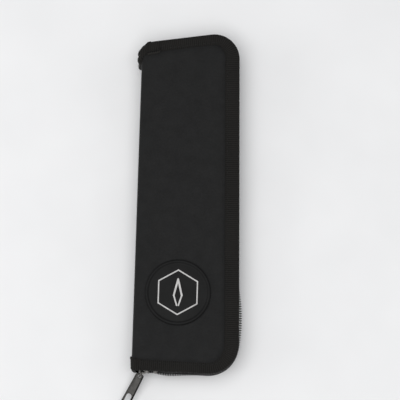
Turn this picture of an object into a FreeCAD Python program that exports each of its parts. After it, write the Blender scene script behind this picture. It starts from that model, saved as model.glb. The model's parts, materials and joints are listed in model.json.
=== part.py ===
"""Slim zip-round tool case for precision tweezers, lying closed on its back panel.

Frame: +Z up, +Y towards the head end, +X from the spine towards the zip side.
The origin is the middle of the back panel's flat outer face. Millimetres.
"""

import FreeCAD, Part
import math
import os

V = FreeCAD.Vector
UP = V(0, 0, 1)

# ---- overall case -------------------------------------------------------------------------
case_length = 220.0        # head to tail along the zip side
case_width = 64.5          # spine to zip side at mid length
case_thickness = 22.0      # closed, outer face to outer face
width_taper = 5.0          # the tail end is this much wider than the head end
head_drop = 9.4            # the zip's end draws the head edge down at the spine
tail_rise = 1.6            # and the tail edge up at the spine
head_corner_radius = 16.0
tail_corner_radius = 19.0

# ---- layers of one cover, from the outer face inwards ---------------------------------------
cloth_thickness = 0.5
padding_thickness = 1.2
board_thickness = 1.2
lining_thickness = 0.4
binding_thickness = 0.6
binding_width = 9.0        # width of the folded tape seen on each face
seam_gap = 0.3             # between the binding's inner edge and the raised panel
lap_length = 11.0          # the binding's lapped end, from the spine
lap_thickness = 0.55
edge_gap = 0.2             # between the layers' edges and the binding that wraps them

# ---- spine ----------------------------------------------------------------------------------
fold_radius = 2.2          # rolled fold of the cloth at each side of the spine
fold_clearance = 0.2       # between a fold and what turns about it
spine_sink = 0.6           # the spine panel lies this far inside the folds
spine_padding_thickness = 0.6

# ---- zip ------------------------------------------------------------------------------------
zip_tape_thickness = 0.4
tape_seam_width = 8.4      # part of the tape sewn under the cover
side_wall_inset = 1.6      # tape wall behind the cover's edge, head and zip side
tail_bow_radius = 35.0     # the tail run bows outwards on this radius
tail_bow_from_spine = 24.25  # where the bow stands out furthest
tail_bow_inset = -0.2       # tape wall behind the cover's edge there (below 0: outside it)
tail_bow_end_deg = -3.5    # the bow runs on as a tangent from here to the corner
wall_corner_radius = 17.0
coil_height = 2.4          # across the chain, one side
coil_depth = 1.8           # out from the tape
chain_half_gap = 0.65      # half the slot between the two coils' solids
tape_edge_back = 0.2       # the tape's edge stops this far short of its coil's tip
stop_length = 2.3
stop_gap = 0.15
head_coil_from_spine = 15.25  # the coils end here on the head run

# ---- zip slider and pull --------------------------------------------------------------------
slider_from_spine = 8.15   # slider's middle when the case is closed
slider_length = 8.8
slider_half_width = 4.4
wing_thickness = 0.8
wing_nose_share = 0.82      # half width of a wing's narrow end, as a share of the full one
wing_corner_radius = 0.9
rail_set_back = 0.5         # rails start this far behind the slider's middle
wing_gap = 0.2             # between the coil and the outer wing
inner_wing_gap = 0.35      # between the tape and the inner wing
rail_gap = 0.3             # between a rail and the coil or the tape
diamond_half_width = 0.4
diamond_length = 2.4
bridge_inner_radius = 1.7
bridge_bar = 0.9
bridge_half_width = 0.8
link_wire = 0.9
link_inner_height = 3.8
link_bend = 1.2
link_play = 0.1            # between the link's wire and the bridge
tab_root_gap = 0.15        # between the bridge and the tab's root
tab_hole_radius = 0.95
tab_root_radius = 1.8
tab_root_round_share = 0.85  # corner radius at the root, as a share of the root radius
tab_end_round_share = 0.92   # and at the end, as a share of half the end's width
tab_length = 24.0          # hole to tip
tab_root_width = 5.2
tab_end_width = 6.4
tab_thickness = 1.3
tab_rim = 0.75             # width of the raised rim
tab_field_depth = 0.3
tab_eye_width = 3.4
tab_eye_length = 9.8
tab_eye_margin = 1.5
tab_droop_deg = 22.0
back_coil_past_slider = 1.5   # back coil ends this far past the slider's middle, spine side
front_wall_clearance = 1.8  # front tape, stop and coil start this far past the slider

# ---- badge ----------------------------------------------------------------------------------
badge_radius = 20.65
badge_from_tail = 50.5     # badge centre from the tail edge
badge_from_spine = 27.5    # and from the spine's outer face
badge_thickness = 0.9
badge_rim_width = 2.0
badge_rim_height = 0.5
badge_bevel = 0.25
emblem_radius = 14.4       # corners of the hexagon outline
emblem_line = 0.9
emblem_height = 0.25
emblem_tool_length = 16.4
emblem_tool_spread = 5.0
emblem_tool_width = 1.15
emblem_tip_width = 0.92
emblem_knee_below_middle = 1.95
emblem_tip_half_gap = 0.55

# ---- elastic straps -------------------------------------------------------------------------
strap_width = 18.0
strap_thickness = 0.9
strap_centres_y = (36.0, -40.0)
strap_half_flat = 8.0      # flat run each side of the raised loop
strap_end_from_side = 10.75  # flat run's end, from the zip side
strap_corner_radius = 2.5  # where the band leaves the lining
strap_crown_radius = 1.6   # where it turns over the blades
loop_clearance = 0.7
bartack_length = 14.0
bartack_side_share = 0.55    # the long flat run's middle tack, along the run
bartack_width = 1.4
bartack_height = 0.4

# ---- tweezers -------------------------------------------------------------------------------
tool_from_spine = 22.25    # the tweezers' middle line
tool_tail_y = 60.0         # end of the welded tail
tool_length = 138.0
tool_width = 9.4           # across the blades
tool_tail_width = 7.4
tool_tip_width = 0.9
arm_thickness = 1.2
weld_length = 13.0
weld_spacer = 0.9          # between the two blades at the tail
arm_half_spread = 4.6      # inner face from the middle line at the knee
arm_tip_half_gap = 3.2     # inner face from the middle line at the tip
knee_from_tip = 52.0
hinge_gap = 0.15           # between the welded tail and each moving blade
lift_off_lining = 0.15
grip_from_tip = 44.0
grip_grooves = 12
grip_pitch = 1.6
groove_radius = 0.45
groove_depth = 0.22
pivot_swell = 1.06          # the tail widens this much by the weld's end
tail_round_radius = 2.4
shoulder_round_radius = 90.0
neck_round_radius = 40.0
neck_from_tip = 7.0         # the fine point starts here
neck_share = 0.24           # half width there, as a share of the full one
tip_thin_share = 0.55       # a blade's thickness at the tip, as a share of the strip's
root_straight = 4.0         # a blade runs straight this far past the weld
knee_straight = 22.0        # and this far before the knee
knee_run_on = 4.0           # and past it
bow_root_radius = 60.0
bow_shoulder_radius = 120.0
bow_knee_radius = 90.0

# ---- worked out from the sizes above --------------------------------------------------------
half_length = case_length / 2
spine_x = -case_width / 2
tail_bow_x = spine_x + tail_bow_from_spine
head_coil_end_x = spine_x + head_coil_from_spine
slider_x = spine_x + slider_from_spine
tool_x = spine_x + tool_from_spine
mid_z = case_thickness / 2
head_spine = V(spine_x, half_length - head_drop, 0)
head_zip = V(case_width / 2 - width_taper / 2, half_length, 0)
tail_zip = V(case_width / 2 + width_taper / 2, -half_length, 0)
tail_spine = V(spine_x, -half_length + tail_rise, 0)

z_flange = padding_thickness                    # outer side of the cloth under the binding
z_board = z_flange + cloth_thickness
z_lining = z_board + board_thickness
z_inner = z_lining + lining_thickness           # the lining's surface
z_cover = z_inner + binding_thickness           # the binding's inner face
z_tape = z_cover + zip_tape_thickness           # the sewn tape's surface
z_binding = z_flange - binding_thickness        # the binding's outer face

fold_x = spine_x + fold_radius                  # both fold axes
low_fold_z = fold_radius
high_fold_z = case_thickness - fold_radius
cover_start_x = fold_x + fold_radius + fold_clearance

chain_low = mid_z - chain_half_gap - coil_height
chain_high = mid_z - chain_half_gap
tape_edge_z = chain_high - tape_edge_back


# ---- outlines -------------------------------------------------------------------------------
def inset_line(start, end, inset):
    """The line from start to end, moved to its right by inset."""
    along = (end - start).normalize()
    shift = V(along.y, -along.x, 0) * inset
    return start + shift, along


def crossing(line_a, line_b):
    """Where two lines, each a point and a direction, cross."""
    (p, u), (q, w) = line_a, line_b
    t = ((q.x - p.x) * w.y - (q.y - p.y) * w.x) / (u.x * w.y - u.y * w.x)
    return p + u * t


def at_x(line, x):
    point, along = line
    return point + along * ((x - point.x) / along.x)


def corner_arc(before, corner, after, radius):
    """The arc of that radius tangent to both sides of a corner: start, middle, end."""
    to_a, to_b = (before - corner).normalize(), (after - corner).normalize()
    half = math.acos(max(-1.0, min(1.0, to_a.dot(to_b)))) / 2
    reach = radius / math.tan(half)
    centre = corner + (to_a + to_b).normalize() * (radius / math.sin(half))
    middle = centre + (corner - centre).normalize() * radius
    return corner + to_a * reach, middle, corner + to_b * reach


def rounded_path(points, radii):
    """Edges of an open path through the points, with its inner corners rounded."""
    edges, start = [], points[0]
    for before, corner, after, radius in zip(points, points[1:], points[2:], radii):
        a, m, b = corner_arc(before, corner, after, radius)
        edges.append(Part.LineSegment(start, a).toShape())
        edges.append(Part.Arc(a, m, b).toShape())
        start = b
    edges.append(Part.LineSegment(start, points[-1]).toShape())
    return edges


def rounded_loop(points, radii):
    """Edges of a closed outline through the points. A radius of 0 keeps a corner sharp."""
    count = len(points)
    turns = []
    for i, corner in enumerate(points):
        if radii[i]:
            turns.append(corner_arc(points[i - 1], corner, points[(i + 1) % count], radii[i]))
        else:
            turns.append((corner, None, corner))
    edges = []
    for i, (a, m, b) in enumerate(turns):
        if m is not None:
            edges.append(Part.Arc(a, m, b).toShape())
        edges.append(Part.LineSegment(b, turns[(i + 1) % count][0]).toShape())
    return edges


def cover_path(inset, start_x=cover_start_x):
    """The cover's head, zip-side and tail edges, inset, from the spine end and back to it."""
    head = inset_line(head_spine, head_zip, inset)
    side = inset_line(head_zip, tail_zip, inset)
    tail = inset_line(tail_zip, tail_spine, inset)
    points = [at_x(head, start_x), crossing(head, side), crossing(side, tail), at_x(tail, start_x)]
    return rounded_path(points, [head_corner_radius - inset, tail_corner_radius - inset])


tail_edge = inset_line(tail_zip, tail_spine, 0)
bow_centre = V(tail_bow_x, at_x(tail_edge, tail_bow_x).y + tail_bow_inset + tail_bow_radius, 0)
bow_start_deg = math.degrees(math.asin((tail_bow_x - cover_start_x) / tail_bow_radius))
slider_deg = math.degrees(math.asin((tail_bow_x - slider_x) / tail_bow_radius))


def on_bow(deg, inset=0.0):
    """A point of the bowed tail run, at an angle from straight down towards the spine."""
    a = math.radians(deg)
    return bow_centre + V(-math.sin(a), -math.cos(a), 0) * (tail_bow_radius - inset)


def bow_degrees(distance):
    return math.degrees(distance / tail_bow_radius)


def zip_path(inset, start_x=cover_start_x, end_deg=bow_start_deg):
    """The zip wall's line: head run, corner, zip side, corner, tangent and bowed tail run."""
    depth = side_wall_inset + inset
    head = inset_line(head_spine, head_zip, depth)
    side = inset_line(head_zip, tail_zip, depth)
    bow_end = on_bow(tail_bow_end_deg, inset)
    a = math.radians(tail_bow_end_deg)
    run_out = (bow_end, V(math.cos(a), -math.sin(a), 0))
    points = [at_x(head, start_x), crossing(head, side), crossing(side, run_out), bow_end]
    radii = [head_corner_radius - depth, wall_corner_radius - inset]
    edges = rounded_path(points, radii)
    middle = on_bow((tail_bow_end_deg + end_deg) / 2, inset)
    edges.append(Part.Arc(bow_end, middle, on_bow(end_deg, inset)).toShape())
    return edges


def ends(edges):
    return edges[0].Vertexes[0].Point, edges[-1].Vertexes[-1].Point


def plate(edges, z0, z1):
    """The closed outline of a path and its spine side, from z0 to z1."""
    first, last = ends(edges)
    wire = Part.Wire(edges + [Part.LineSegment(last, first).toShape()])
    face = Part.Face(wire)
    face.translate(UP * z0)
    return face.extrude(UP * (z1 - z0))


def strip_face(outer, inner):
    """The face between two open paths that start and end beside each other."""
    a, b = ends(outer)
    c, d = ends(inner)
    closing = [Part.LineSegment(b, d).toShape(), Part.LineSegment(c, a).toShape()]
    return Part.Face(Part.Wire(Part.sortEdges(outer + inner + closing)[0]))


def band(outer, inner, z0, z1):
    """The strip between two paths, from z0 to z1."""
    face = strip_face(outer, inner)
    face.translate(UP * z0)
    return face.extrude(UP * (z1 - z0))


def box(x0, x1, y0, y1, z0, z1):
    return Part.makeBox(x1 - x0, y1 - y0, z1 - z0, V(x0, y0, z0))


def to_front(shape):
    """A back-half shape turned into the front half's, across the chain's mid plane."""
    return shape.mirror(V(0, 0, mid_z), UP)


def joined(first, *rest):
    return first.fuse(list(rest)).removeSplitter()


# ---- covers ---------------------------------------------------------------------------------
def panel_cloth():
    """Cloth of one cover: flat under the binding, raised over the padding."""
    field = binding_width + seam_gap
    sheet = plate(cover_path(edge_gap + binding_thickness), z_flange, z_board)
    raised = plate(cover_path(field), 0, z_board)
    hollow = plate(cover_path(field + cloth_thickness, cover_start_x + cloth_thickness),
                   cloth_thickness, z_board)
    return sheet.fuse(raised).removeSplitter().cut(hollow)


def panel_padding():
    inset = binding_width + seam_gap + cloth_thickness
    return plate(cover_path(inset, cover_start_x + cloth_thickness), cloth_thickness, z_board)


def edge_binding():
    """Folded tape round the cover's three free edges, closed over the layers' edges."""
    rim = cover_path(0)
    under_rim = cover_path(binding_thickness)
    leg = cover_path(binding_width)
    wall = band(rim, under_rim, z_binding, z_cover)
    outer_leg = band(under_rim, leg, z_binding, z_flange)
    inner_leg = band(under_rim, leg, z_inner, z_cover)
    return joined(wall, outer_leg, inner_leg)


def binding_lap():
    """Where the binding's two ends lap, a second folded layer on the front face at the head."""
    rim = inset_line(head_spine, head_zip, binding_thickness)
    inner = inset_line(head_spine, head_zip, binding_width)
    start_x, end_x = cover_start_x, cover_start_x + lap_length
    corners = [at_x(rim, start_x), at_x(rim, end_x), at_x(inner, end_x), at_x(inner, start_x)]
    face = Part.Face(Part.makePolygon(corners + corners[:1]))
    face.translate(UP * (case_thickness - z_binding))
    return face.extrude(UP * lap_thickness)


def zip_tape(end_deg):
    """Tape sewn under the cover's edge, standing up behind the coil as the zip's wall."""
    wall = band(zip_path(0, end_deg=end_deg),
                zip_path(zip_tape_thickness, end_deg=end_deg), z_cover, tape_edge_z)
    seam = plate(zip_path(0), z_cover, z_tape)
    seam = seam.cut(plate(cover_path(tape_seam_width, cover_start_x - 1), z_cover - 1, z_tape + 1))
    return joined(seam, wall)


def zip_coil(end_deg):
    """One side of the chain, on the outer face of its tape."""
    return band(zip_path(-coil_depth, head_coil_end_x, end_deg),
                zip_path(0, head_coil_end_x, end_deg), chain_low, chain_high)


def zip_stops(tail_deg):
    """The two clips that end one coil, at the tail and at the head."""
    outer, inner = -coil_depth, 0.0
    seat = -stop_length ** 2 / (8 * tail_bow_radius)   # a straight clip touches the bow by its middle
    a0 = tail_deg + bow_degrees(stop_gap)
    a1 = a0 + bow_degrees(stop_length)
    corners = [on_bow(a0, outer), on_bow(a1, outer), on_bow(a1, seat), on_bow(a0, seat)]
    tail_stop = Part.Face(Part.makePolygon(corners + corners[:1]))
    head_outer = inset_line(head_spine, head_zip, side_wall_inset + outer)
    head_inner = inset_line(head_spine, head_zip, side_wall_inset + inner)
    near, far = head_coil_end_x - stop_gap, head_coil_end_x - stop_gap - stop_length
    corners = [at_x(head_outer, near), at_x(head_outer, far),
               at_x(head_inner, far), at_x(head_inner, near)]
    head_stop = Part.Face(Part.makePolygon(corners + corners[:1]))
    solids = []
    for face in (tail_stop, head_stop):
        face.translate(UP * chain_low)
        solids.append(face.extrude(UP * coil_height))
    return Part.makeCompound(solids)


# ---- spine ----------------------------------------------------------------------------------
spine_y0, spine_y1 = tail_spine.y, head_spine.y
spine_outer_x = spine_x + spine_sink
spine_inner_x = (spine_outer_x + cloth_thickness + spine_padding_thickness + lining_thickness)
spine_z0 = low_fold_z + fold_radius + fold_clearance
spine_z1 = case_thickness - spine_z0


def fold_roll(z):
    start, run = V(fold_x, spine_y0, z), spine_y1 - spine_y0
    along = V(0, 1, 0)
    outer = Part.makeCylinder(fold_radius, run, start, along)
    return outer.cut(Part.makeCylinder(fold_radius - cloth_thickness, run, start, along))


def spine_cloth():
    panel = box(spine_outer_x, spine_outer_x + cloth_thickness, spine_y0, spine_y1,
                low_fold_z, high_fold_z)
    hollow = fold_radius - cloth_thickness
    for z in (low_fold_z, high_fold_z):
        core = Part.makeCylinder(hollow, spine_y1 - spine_y0, V(fold_x, spine_y0, z), V(0, 1, 0))
        panel = panel.cut(core)
    return joined(panel, fold_roll(low_fold_z), fold_roll(high_fold_z))


def spine_padding():
    x0 = spine_outer_x + cloth_thickness
    return box(x0, x0 + spine_padding_thickness, spine_y0 + edge_gap, spine_y1 - edge_gap,
               spine_z0, spine_z1)


def spine_lining():
    return box(spine_inner_x - lining_thickness, spine_inner_x,
               spine_y0 + edge_gap, spine_y1 - edge_gap, spine_z0, spine_z1)


def spine_binding(end_y, inwards):
    """Tape folded over one end of the spine. inwards is +1 at the tail and -1 at the head."""
    y_out, y_in = end_y - inwards * binding_thickness, end_y + inwards * binding_width
    x0, x1 = spine_outer_x - binding_thickness, spine_inner_x + binding_thickness
    block = box(x0, x1, min(y_out, y_in), max(y_out, y_in), spine_z0, spine_z1)
    slot = box(spine_outer_x, spine_inner_x, min(end_y, y_in + inwards), max(end_y, y_in + inwards),
               spine_z0 - 1, spine_z1 + 1)
    return block.cut(slot)


# ---- slider and pull, made in their own frame -----------------------------------------------
# Local frame: X along the chain towards the spine, Y out from the tape's outer face, Z up from
# the chain's middle. It stands at the slider's place on the bowed run.
wing_face = coil_depth + wing_gap + wing_thickness
bridge_outer_radius = bridge_inner_radius + bridge_bar
link_inner = bridge_inner_radius - link_play - link_wire
tab_hole_reach = bridge_outer_radius + tab_root_gap + tab_root_radius
slider_turn_deg = 180.0 - slider_deg


def placed(shape):
    """A shape of the slider's frame, moved to its place on the case."""
    shape = shape.copy()
    shape.rotate(V(0, 0, 0), UP, slider_turn_deg)
    shape.translate(on_bow(slider_deg) + UP * mid_z)
    return shape


def local_point(x, y, z=0.0):
    a = math.radians(slider_turn_deg)
    turned = V(x * math.cos(a) - y * math.sin(a), x * math.sin(a) + y * math.cos(a), z)
    return on_bow(slider_deg) + UP * mid_z + turned


def wing(y0, y1):
    """A slider wing: square shoulders towards the spine, drawn in towards the chain."""
    half, narrow = slider_length / 2, slider_half_width * wing_nose_share
    corners = [V(-half, 0, -narrow), V(-half, 0, narrow), V(0, 0, slider_half_width),
               V(half, 0, slider_half_width), V(half, 0, -slider_half_width),
               V(0, 0, -slider_half_width)]
    face = Part.Face(Part.makePolygon(corners + corners[:1]))
    face.translate(V(0, y0, 0))
    solid = face.extrude(V(0, y1 - y0, 0))
    upright = [e for e in solid.Edges if abs(e.tangentAt(e.FirstParameter).y) > 0.9]
    sharp = [e for e in upright if abs(abs(e.CenterOfMass.x) - half) < 0.01]
    return solid.makeFillet(wing_corner_radius, sharp)


def slider_body():
    """Two wings joined by the diamond, with rails that keep the coils in."""
    outer = wing(wing_face - wing_thickness, wing_face)
    inner_face = -zip_tape_thickness - inner_wing_gap
    inner = wing(inner_face - wing_thickness, inner_face)
    rail_in = chain_half_gap + coil_height + rail_gap
    rails = []
    for side in (1, -1):
        z0, z1 = sorted((side * rail_in, side * slider_half_width))
        rails.append(box(-rail_set_back, slider_length / 2 - wing_corner_radius,
                         rail_gap, wing_face - wing_thickness, z0, z1))
    diamond = box(slider_length / 2 - diamond_length, slider_length / 2, inner_face,
                  wing_face - wing_thickness, -diamond_half_width, diamond_half_width)
    return joined(outer, inner, diamond, *rails)


def slider_bridge():
    """Half-ring on the outer wing that the pull hooks round."""
    centre = V(0, wing_face, -bridge_half_width)
    width = 2 * bridge_half_width
    ring = Part.makeCylinder(bridge_outer_radius, width, centre, UP)
    ring = ring.cut(Part.makeCylinder(bridge_inner_radius, width, centre, UP))
    far = slider_length
    keep = box(-far, far, wing_face, wing_face + far, -far, far)
    return ring.common(keep)


def pull_link():
    """Wire ring through the bridge and the tab's root hole, standing on edge."""
    near = wing_face + link_inner + link_wire / 2
    far = wing_face + tab_hole_reach
    top = (link_inner_height + link_wire) / 2
    corners = [V(0, near, -top), V(0, near, top), V(0, far, top), V(0, far, -top)]
    edges = rounded_loop(corners, [link_bend] * 4)
    path = Part.Wire(edges)
    start = path.Edges[0]
    point, along = start.valueAt(start.FirstParameter), start.tangentAt(start.FirstParameter)
    ring = Part.Wire(Part.makeCircle(link_wire / 2, point, along))
    return path.makePipeShell([ring], True, False)


def tab_outline(grow):
    """The pull's outline about its hole, flaring to a rounded end. grow is negative inside."""
    root, end = tab_root_width / 2 + grow, tab_end_width / 2 + grow
    y0, y1 = -tab_root_radius - grow, tab_length + grow
    corners = [V(-root, y0, 0), V(-end, y1, 0), V(end, y1, 0), V(root, y0, 0)]
    near = tab_root_radius * tab_root_round_share + grow
    far = end * tab_end_round_share
    return Part.Face(Part.Wire(rounded_loop(corners, [near, far, far, near])))


def slot_face(width, y0, y1):
    """A round-ended slot along Y."""
    r = width / 2
    a, b = V(-r, y0 + r, 0), V(-r, y1 - r, 0)
    c, d = V(r, y1 - r, 0), V(r, y0 + r, 0)
    edges = [Part.LineSegment(a, b).toShape(), Part.Arc(b, V(0, y1, 0), c).toShape(),
             Part.LineSegment(c, d).toShape(), Part.Arc(d, V(0, y0, 0), a).toShape()]
    return Part.Face(Part.Wire(edges))


def pull_tab():
    """Flat pull with a raised rim, a round root hole and a long eye at its end."""
    half = tab_thickness / 2
    body = tab_outline(0.0)
    body.translate(V(0, 0, -half))
    body = body.extrude(UP * tab_thickness)
    eye_end = tab_length - tab_eye_margin
    eye_start = eye_end - tab_eye_length
    field = tab_outline(-tab_rim).cut(slot_face(tab_eye_width + 2 * tab_rim, eye_start - tab_rim,
                                                tab_length + 9))
    field = field.cut(Part.Face(Part.Wire(Part.makeCircle(tab_hole_radius + tab_rim))))
    for z in (half - tab_field_depth, -half - 1):
        recess = field.copy()
        recess.translate(UP * z)
        body = body.cut(recess.extrude(UP * (tab_field_depth + 1)))
    eye = slot_face(tab_eye_width, eye_start, eye_end)
    eye.translate(UP * -tab_thickness)
    body = body.cut(eye.extrude(UP * 2 * tab_thickness))
    hole = Part.makeCylinder(tab_hole_radius, 2 * tab_thickness, V(0, 0, -tab_thickness), UP)
    body = body.cut(hole)
    body.rotate(V(0, 0, 0), V(1, 0, 0), -tab_droop_deg)
    body.translate(V(0, wing_face + tab_hole_reach, 0))
    return body


# ---- badge ----------------------------------------------------------------------------------
badge_centre = V(spine_x + badge_from_spine, -half_length + badge_from_tail, case_thickness)


def badge_base():
    """Moulded disc with a raised rim, sitting on the front cover."""
    total = badge_thickness + badge_rim_height
    disc = Part.makeCylinder(badge_radius, total, badge_centre, UP)
    top = [e for e in disc.Edges if e.CenterOfMass.z > badge_centre.z + total - 0.01
           and e.Length > badge_radius]
    disc = disc.makeChamfer(badge_bevel, top)
    well = Part.makeCylinder(badge_radius - badge_rim_width, total,
                             badge_centre + UP * badge_thickness, UP)
    return disc.cut(well)


def emblem_bar(start, end, width):
    along = (end - start)
    length = along.Length
    bar = slot_face(width, -width / 2, length + width / 2)
    bar.rotate(V(0, 0, 0), UP, math.degrees(math.atan2(along.y, along.x)) - 90)
    bar.translate(start)
    return bar.extrude(UP * emblem_height)


def badge_emblem():
    """Plain emblem: a hexagon outline round a pair of tweezers."""
    def hexagon(radius):
        points = [V(radius * math.cos(math.radians(60 * i + 30)),
                    radius * math.sin(math.radians(60 * i + 30)), 0) for i in range(7)]
        return Part.Face(Part.makePolygon(points))
    ring = hexagon(emblem_radius).cut(hexagon(emblem_radius - emblem_line))
    ring = ring.extrude(UP * emblem_height)
    top = V(0, emblem_tool_length / 2, 0)
    solids = [ring]
    blades = []
    for side in (1, -1):
        knee = V(side * emblem_tool_spread / 2, -emblem_knee_below_middle, 0)
        tip = V(side * emblem_tip_half_gap, -emblem_tool_length / 2, 0)
        blades += [emblem_bar(top, knee, emblem_tool_width),
                   emblem_bar(knee, tip, emblem_tip_width)]
    solids.append(joined(*blades))
    shape = Part.makeCompound(solids)
    shape.translate(badge_centre + UP * badge_thickness)
    return shape


# ---- elastic straps and their stitching -------------------------------------------------------
loop_half = arm_half_spread + arm_thickness + loop_clearance
loop_top = z_inner + lift_off_lining + tool_width + loop_clearance
strap_long_flat = case_width / 2 - strap_end_from_side - (tool_x + loop_half)


def strap_line(offset):
    """The strap's underside seen from the tail, moved up or out by offset."""
    low, high = z_inner + offset, loop_top + offset
    left, right = tool_x - loop_half - offset, tool_x + loop_half + offset
    points = [V(tool_x - loop_half - strap_half_flat, 0, low), V(left, 0, low), V(left, 0, high),
              V(right, 0, high), V(right, 0, low),
              V(tool_x + loop_half + strap_long_flat, 0, low)]
    foot, crown = strap_corner_radius - offset, strap_crown_radius + offset
    return rounded_path(points, [foot, crown, crown, foot])


def elastic_strap(centre_y):
    """Flat band sewn to the lining, raised in one loop over the tweezers."""
    face = strip_face(strap_line(strap_thickness), strap_line(0.0))
    face.translate(V(0, centre_y - strap_width / 2, 0))
    return face.extrude(V(0, strap_width, 0))


def strap_bartacks():
    """Dense stitches that hold the straps down beside the loop and at their ends."""
    flat_x = (tool_x - loop_half - strap_half_flat + bartack_width,
              tool_x - loop_half - strap_corner_radius - bartack_width,
              tool_x + loop_half + strap_corner_radius + bartack_width,
              tool_x + loop_half + strap_long_flat * bartack_side_share,
              tool_x + loop_half + strap_long_flat - bartack_width)
    z0 = z_inner + strap_thickness
    solids = [box(x - bartack_width / 2, x + bartack_width / 2, y - bartack_length / 2,
                  y + bartack_length / 2, z0, z0 + bartack_height)
              for y in strap_centres_y for x in flat_x]
    return Part.makeCompound(solids)


# ---- tweezers -------------------------------------------------------------------------------
tool_z = z_inner + lift_off_lining
tip_y = tool_tail_y - tool_length
pivot_y = tool_tail_y - weld_length
knee_y = tip_y + knee_from_tip
root_half = weld_spacer / 2


def blade_side():
    """Both blades seen from the side: rounded tail, full width at the knee, fine point."""
    mid = tool_z + tool_width / 2
    tail, full, tip = tool_tail_width / 2, tool_width / 2, tool_tip_width / 2
    lower = [V(0, tool_tail_y, mid - tail), V(0, pivot_y, mid - tail * pivot_swell),
             V(0, knee_y, mid - full), V(0, tip_y + neck_from_tip, mid - full * neck_share),
             V(0, tip_y, mid - tip)]
    upper = [V(0, p.y, 2 * mid - p.z) for p in reversed(lower)]
    half = [tail_round_radius, 0, shoulder_round_radius, neck_round_radius, 0]
    radii = half + half[::-1]
    face = Part.Face(Part.Wire(rounded_loop(lower + upper, radii)))
    face.translate(V(tool_x - tool_width * 2, 0, 0))
    return face.extrude(V(tool_width * 4, 0, 0))


def arm_strip(side, y_top):
    """One blade's bowed strip seen from above, from its root at y_top to its tip."""
    def line(extra):
        thin = extra * tip_thin_share
        points = [V(tool_x + side * (root_half + extra), y_top, 0),
                  V(tool_x + side * (root_half + extra), pivot_y - root_straight, 0),
                  V(tool_x + side * (arm_half_spread + extra), knee_y + knee_straight, 0),
                  V(tool_x + side * (arm_half_spread + extra), knee_y - knee_run_on, 0),
                  V(tool_x + side * (arm_tip_half_gap + thin), tip_y, 0)]
        return rounded_path(points, [bow_root_radius, bow_shoulder_radius, bow_knee_radius])
    return strip_face(line(arm_thickness), line(0.0)).extrude(UP * case_thickness)


def tweezers_arm(side):
    """One moving blade, from the weld to the tip, with grooves for the finger."""
    arm = arm_strip(side, pivot_y - hinge_gap).common(blade_side())
    outer_x = tool_x + side * (arm_half_spread + arm_thickness)
    first = tip_y + grip_from_tip
    for i in range(grip_grooves):
        centre = V(outer_x + side * (groove_radius - groove_depth), first + i * grip_pitch, 0)
        arm = arm.cut(Part.makeCylinder(groove_radius, case_thickness, centre, UP))
    return arm


def tweezers_tail():
    """The welded tail: both blades' roots with the spacer between them."""
    half = root_half + arm_thickness
    block = box(tool_x - half, tool_x + half, pivot_y, tool_tail_y, 0, case_thickness)
    return block.common(blade_side())


# ---- everything -----------------------------------------------------------------------------
front_start_deg = slider_deg - bow_degrees(slider_length / 2 + front_wall_clearance)
front_coil_deg = front_start_deg - bow_degrees(stop_gap + stop_length)
back_coil_deg = slider_deg + bow_degrees(back_coil_past_slider)


def nodes():
    cloth, padding, binding = panel_cloth(), panel_padding(), edge_binding()
    board = plate(cover_path(edge_gap + binding_thickness), z_board, z_lining)
    lining = plate(cover_path(edge_gap + binding_thickness), z_lining, z_inner)
    made = {
        "back_cover_cloth": cloth,
        "back_padding": padding,
        "back_board": board,
        "back_lining": lining,
        "back_binding": binding,
        "back_zip_tape": zip_tape(bow_start_deg),
        "back_zip_coil": zip_coil(back_coil_deg),
        "back_zip_stops": zip_stops(back_coil_deg),
        "front_cover_cloth": to_front(cloth),
        "front_padding": to_front(padding),
        "front_board": to_front(board),
        "front_lining": to_front(lining),
        "front_binding": to_front(binding),
        "front_binding_lap": binding_lap(),
        "front_zip_tape": to_front(zip_tape(front_start_deg)),
        "front_zip_coil": to_front(zip_coil(front_coil_deg)),
        "front_zip_stops": to_front(zip_stops(front_coil_deg)),
        "spine_cloth": spine_cloth(),
        "spine_padding": spine_padding(),
        "spine_lining": spine_lining(),
        "spine_binding_tail": spine_binding(spine_y0, 1),
        "spine_binding_head": spine_binding(spine_y1, -1),
        "slider_body": placed(slider_body()),
        "slider_bridge": placed(slider_bridge()),
        "pull_link": placed(pull_link()),
        "pull_tab": placed(pull_tab()),
        "badge_base": badge_base(),
        "badge_emblem": badge_emblem(),
        "upper_elastic_strap": elastic_strap(strap_centres_y[0]),
        "lower_elastic_strap": elastic_strap(strap_centres_y[1]),
        "strap_bartacks": strap_bartacks(),
        "tweezers_tail": tweezers_tail(),
        "tweezers_left_arm": tweezers_arm(-1),
        "tweezers_right_arm": tweezers_arm(1),
    }
    return made


def main():
    os.makedirs("parts", exist_ok=True)
    for name, shape in nodes().items():
        if not shape.isValid() or not shape.Solids:
            raise RuntimeError(name + " is not a valid solid")
        shape.exportStep("parts/" + name + ".step")
        size = shape.BoundBox
        print("%-22s solids %2d  volume %9.2f  x %7.2f %7.2f  y %8.2f %8.2f  z %6.2f %6.2f" % (
            name, len(shape.Solids), shape.Volume, size.XMin, size.XMax, size.YMin, size.YMax,
            size.ZMin, size.ZMax))
    for label, point in (("slider hinge", bow_centre), ("link hinge", local_point(0, wing_face)),
                         ("tab hinge", local_point(0, wing_face + tab_hole_reach)),
                         ("low fold", V(fold_x, 0, low_fold_z)),
                         ("high fold", V(fold_x, 0, high_fold_z)),
                         ("arm pivots", V(root_half + arm_thickness / 2, pivot_y, tool_z))):
        print("%-12s %9.4f %9.4f %9.4f" % (label, point.x, point.y, point.z))
    print("slider turn %.4f, slider at %.4f, bow starts %.4f" % (slider_turn_deg, slider_deg,
                                                                 bow_start_deg))


main()
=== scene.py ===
import json
import math

import bmesh
import bpy
import numpy as np
from mathutils import Matrix, Vector, noise


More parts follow.
